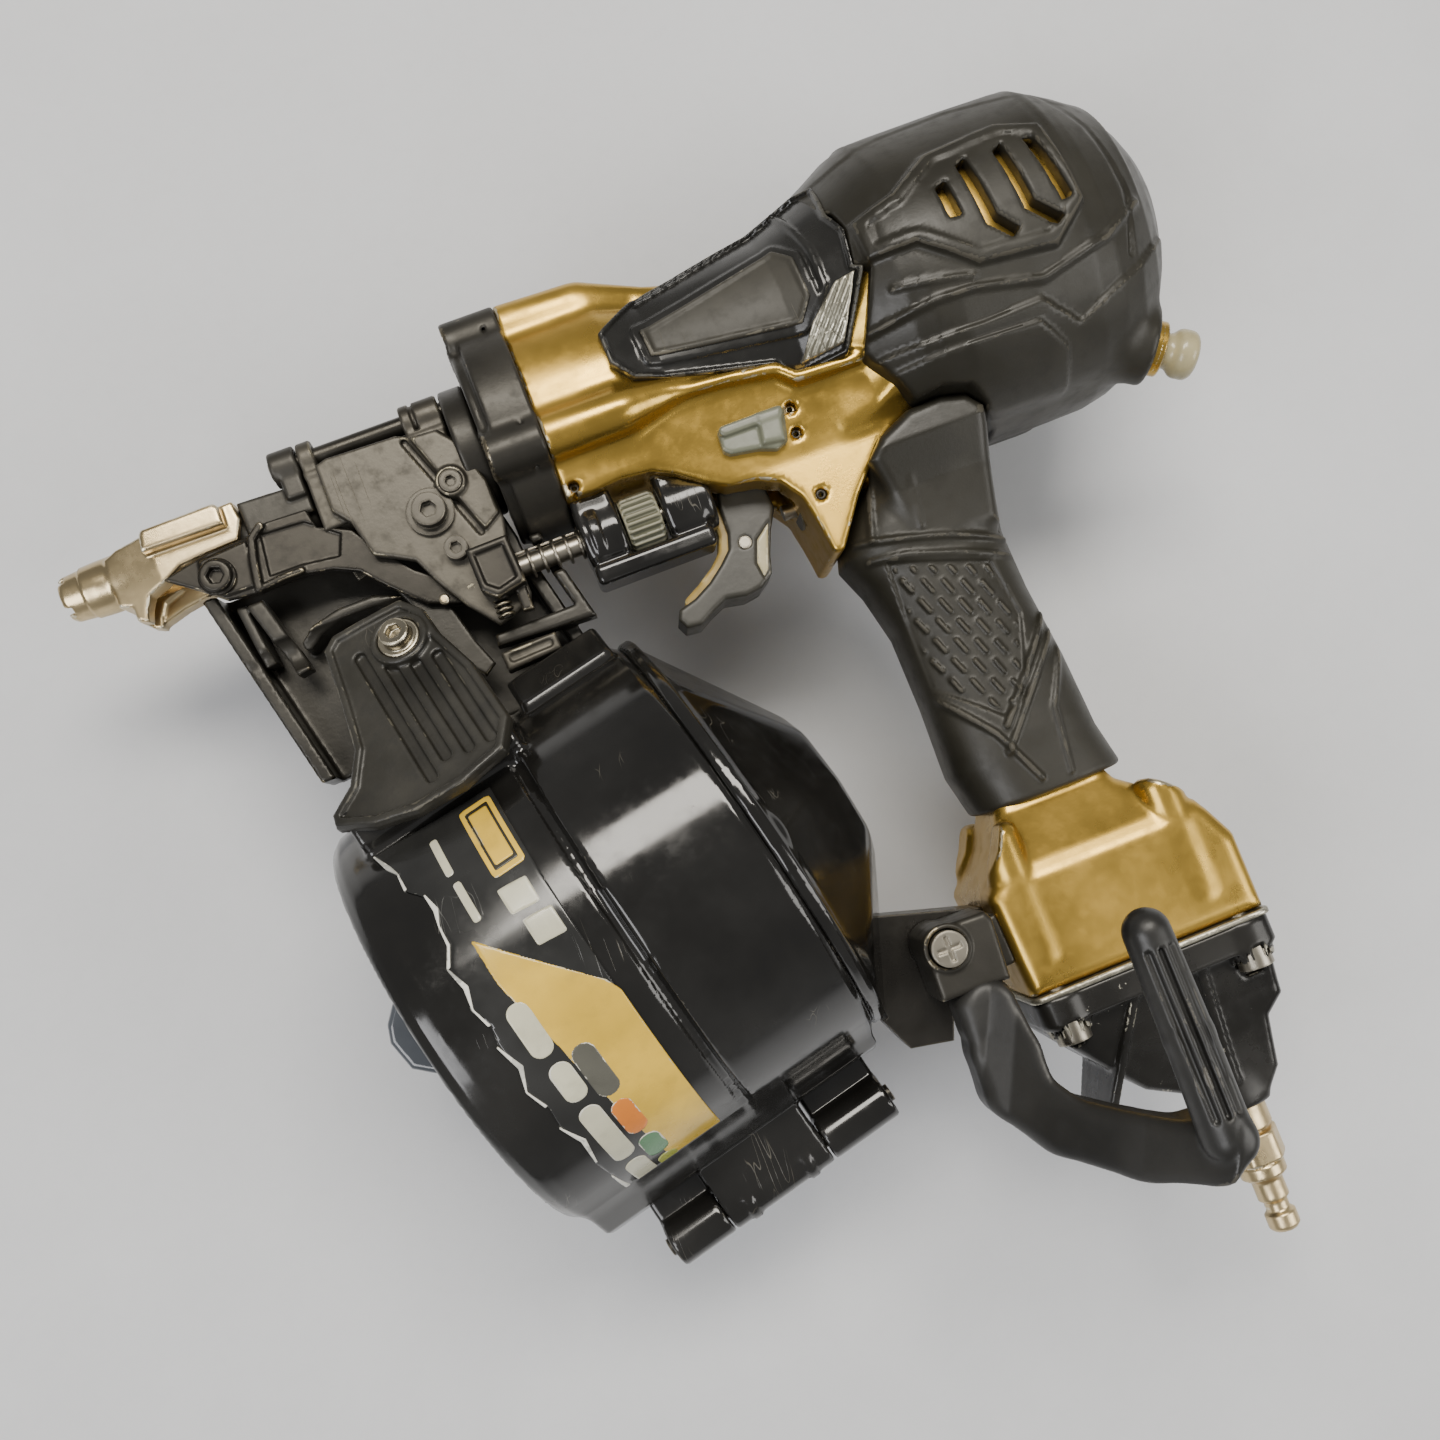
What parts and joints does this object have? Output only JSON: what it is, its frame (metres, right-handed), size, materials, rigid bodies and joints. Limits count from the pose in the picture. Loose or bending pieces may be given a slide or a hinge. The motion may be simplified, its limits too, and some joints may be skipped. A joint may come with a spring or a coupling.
{
  "type": "coil nailer",
  "caption": "High-pressure air nailer for wire-coil nails: gold cast body, black drum magazine, side-opening nose door, belt hook and depth dial.",
  "frame": {"origin": "on the drive axis at the mouth of the contact nose", "axes": "+X along the drive axis to the rear, +Y away from the handle end, +Z out of the tool's left side"},
  "size_m": [0.281, 0.2841, 0.127],
  "materials": {
    "gold_casting": "satin gold coat, worn at edges",
    "black_elastomer": "matt to satin, fine grain",
    "black_plastic": "gloss, scratched",
    "black_casting": "semi-matt black, rubbed bright at edges",
    "nickel": "satin nickel plate",
    "steel": "plain steel",
    "black_steel": "black oxide, worn",
    "aluminium": "machined",
    "seal": "seal rubber",
    "grey_plastic": "matt grey",
    "dial_plastic": "ridged grey-green",
    "dark_plastic": "dark grey, satin",
    "yellow_plastic": "yellow, satin",
    "cream_plastic": "cream, satin",
    "label": "printed film"
  },
  "bodies": {
    "tool_body": {"body_housing": "gold_casting", "head_cap": "gold_casting", "rear_protector": "black_elastomer", "head_bolts": "steel", "head_gasket": "seal", "cylinder_liner": "aluminium", "piston_bumper": "seal", "nose_flange": "black_casting", "flange_bolts": "black_steel", "blade_guide": "black_casting", "feed_housing": "black_casting", "hinge_rod": "black_steel", "adjuster_housing": "black_plastic", "side_panel_left": "black_elastomer", "side_panel_right": "black_elastomer", "side_badges": "dark_plastic", "side_inserts": "aluminium", "grip": "black_elastomer", "end_gasket": "aluminium", "end_cap": "black_casting", "end_cap_bolts": "steel", "air_plug": "nickel", "hook_bracket": "black_casting", "belt_hook": "black_elastomer", "hook_screw": "steel", "magazine_base": "black_plastic", "magazine_arm": "black_casting", "nail_post": "steel", "magazine_pin": "black_steel", "trigger_pin": "steel", "trigger_valve_body": "dark_plastic", "feed_cylinder": "black_casting"},
    "driver": {"piston": "aluminium", "piston_ring": "seal", "driver_blade": "steel"},
    "head_valve": {"head_valve": "dark_plastic", "head_valve_spring": "steel"},
    "arm_carrier": {"upper_arm": "steel"},
    "contact_arm": {"contact_nose": "nickel", "push_lever": "black_steel", "push_rod": "steel", "lever_bolt": "black_steel", "contact_spring": "steel"},
    "dial": {"adjuster_dial": "dial_plastic"},
    "trigger": {"trigger": "dark_plastic", "trigger_face": "yellow_plastic", "trigger_arm_pin": "steel"},
    "trigger_arm": {"trigger_arm": "steel"},
    "plunger": {"valve_plunger": "steel", "valve_spring": "steel"},
    "mode_switch": {"mode_switch": "grey_plastic"},
    "nose_door": {"nose_door": "black_casting", "door_bolts": "black_steel"},
    "door_latch": {"door_latch": "black_steel"},
    "magazine_cover": {"magazine_cover": "black_plastic", "feed_door": "dark_plastic", "label_plate": "label"},
    "nail_tray": {"nail_tray": "grey_plastic"},
    "feeder": {"feed_piston": "steel"},
    "duster": {"duster_button": "cream_plastic"}
  },
  "joints": [
    {"name": "drive_stroke", "type": "slide", "parent": "tool_body", "child": "driver", "axis": [-1, 0, 0], "range_m": [0, 0.092]},
    {"name": "head_valve_slide", "type": "slide", "parent": "tool_body", "child": "head_valve", "axis": [1, 0, 0], "range_m": [0, 0.004], "stiffness_N_per_m": 1500, "springref_m": -0.006, "deforming": ["head_valve_spring"]},
    {"name": "contact_press", "type": "slide", "parent": "tool_body", "child": "arm_carrier", "axis": [1, 0, 0], "range_m": [0, 0.01], "stiffness_N_per_m": 600, "springref_m": -0.008, "deforming": ["contact_spring"]},
    {"name": "depth_slide", "type": "slide", "parent": "arm_carrier", "child": "contact_arm", "axis": [1, 0, 0], "range_m": [-0.002, 0.002]},
    {"name": "dial_turn", "type": "hinge", "parent": "tool_body", "child": "dial", "pos_m": [0.1324, -0.0315, 0.0075], "axis": [1, 0, 0], "range_deg": [-725, 725]},
    {"name": "trigger_pull", "type": "hinge", "parent": "tool_body", "child": "trigger", "pos_m": [0.1575, -0.0295, 0], "axis": [0, 0, 1], "range_deg": [0, 8], "stiffness_Nm_per_rad": 0.5, "springref_deg": -17.19},
    {"name": "trigger_arm_swing", "type": "hinge", "parent": "trigger", "child": "trigger_arm", "pos_m": [0.1535, -0.0445, 0], "axis": [0, 0, 1], "range_deg": [-6, 6], "stiffness_Nm_per_rad": 0.02},
    {"name": "plunger_slide", "type": "slide", "parent": "tool_body", "child": "plunger", "axis": [1, 0, 0], "range_m": [0, 0.0016], "deforming": ["valve_spring"]},
    {"name": "switch_turn", "type": "hinge", "parent": "tool_body", "child": "mode_switch", "pos_m": [0.1595, -0.0236, 0.017], "axis": [0, 0, 1], "range_deg": [-90, 0]},
    {"name": "door_swing", "type": "hinge", "parent": "tool_body", "child": "nose_door", "pos_m": [0.08, 0.0105, 0.0055], "axis": [-1, 0, 0], "range_deg": [0, 100]},
    {"name": "latch_slide", "type": "slide", "parent": "nose_door", "child": "door_latch", "axis": [0, -1, 0], "range_m": [0, 0.003], "stiffness_N_per_m": 150, "springref_m": -0.003},
    {"name": "cover_swing", "type": "hinge", "parent": "tool_body", "child": "magazine_cover", "pos_m": [0.10652, -0.18423, 0], "axis": [0.9744, 0.225, 0], "range_deg": [0, 100]},
    {"name": "tray_slide", "type": "slide", "parent": "tool_body", "child": "nail_tray", "axis": [0.9744, 0.225, 0], "range_m": [0, 0.018]},
    {"name": "feed_stroke", "type": "slide", "parent": "tool_body", "child": "feeder", "axis": [0.225, -0.9744, 0], "range_m": [0, 0.008], "stiffness_N_per_m": 250, "springref_m": -0.006},
    {"name": "duster_press", "type": "slide", "parent": "tool_body", "child": "duster", "axis": [-0.8387, 0.5446, 0], "range_m": [0, 0.002], "stiffness_N_per_m": 100, "springref_m": -0.004}
  ],
  "couplings": [
    {"joint": "dial_turn", "follows": "depth_slide", "rad_per_m": 6283.2},
    {"joint": "plunger_slide", "follows": "trigger_pull", "m_per_rad": 0.011}
  ]
}
